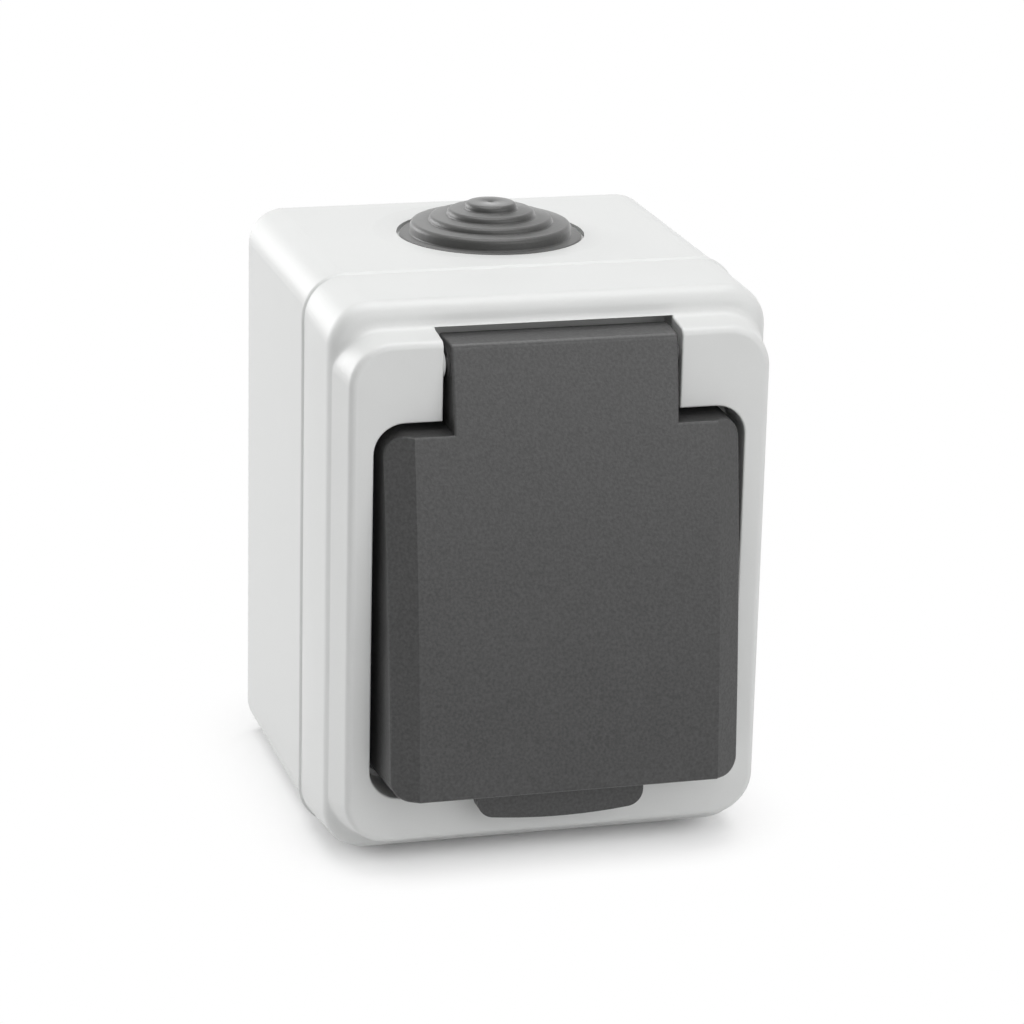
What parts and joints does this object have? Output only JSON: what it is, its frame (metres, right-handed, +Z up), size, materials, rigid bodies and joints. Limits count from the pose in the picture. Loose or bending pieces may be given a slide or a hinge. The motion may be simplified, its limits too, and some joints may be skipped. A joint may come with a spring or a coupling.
{
  "type": "outdoor weatherproof socket",
  "caption": "Surface-mounted weatherproof mains socket: rounded light grey box and cover with a dark sprung lid over a round earthed plug recess and a stepped cable grommet on top.",
  "frame": {"origin": "centre of the back face, which touches the wall", "axes": "+Y into the wall, +Z up, +X to the right of someone who faces the front; the front faces -Y"},
  "size_m": [0.068, 0.0754, 0.0926],
  "materials": {
    "housing_plastic": "fine spark-eroded satin",
    "lid_plastic": "fine-grained matt",
    "grommet_rubber": "matt",
    "seal_rubber": "matt",
    "zinc_steel": "zinc plated",
    "stainless_steel": "ground",
    "spring_steel": "drawn wire",
    "cup_plastic": "satin",
    "thermoset": "moulded",
    "brass": "plain",
    "tinned_brass": "tinned",
    "shutter_plastic": "natural"
  },
  "bodies": {
    "housing": {"back_box": "housing_plastic", "front_cover": "housing_plastic", "cable_grommet": "grommet_rubber", "box_seal": "seal_rubber", "cup_seal": "seal_rubber", "cover_screws": "zinc_steel", "hinge_pin": "stainless_steel", "lid_spring": "spring_steel", "shutter_spring": "spring_steel", "plug_cup": "cup_plastic", "centre_screw": "zinc_steel", "insert_base": "thermoset", "insert_screws": "zinc_steel", "contact_left": "brass", "contact_right": "brass", "earth_bow": "tinned_brass", "terminal_blocks": "brass", "terminal_screws": "zinc_steel"},
    "lid": {"lid": "lid_plastic", "lid_seal": "seal_rubber"},
    "shutter": {"shutter": "shutter_plastic"}
  },
  "joints": [
    {"name": "lid_hinge", "type": "hinge", "parent": "housing", "child": "lid", "pos_m": [0, -0.0635, 0.0354], "axis": [-1, 0, 0], "range_deg": [0, 105], "stiffness_Nm_per_rad": 0.01, "springref_deg": -20.05, "deforming": ["lid_spring"]},
    {"name": "shutter_slide", "type": "slide", "parent": "housing", "child": "shutter", "axis": [0, 0, -1], "range_m": [0, 0.0065], "stiffness_N_per_m": 40, "springref_m": -0.002, "deforming": ["shutter_spring"]}
  ]
}
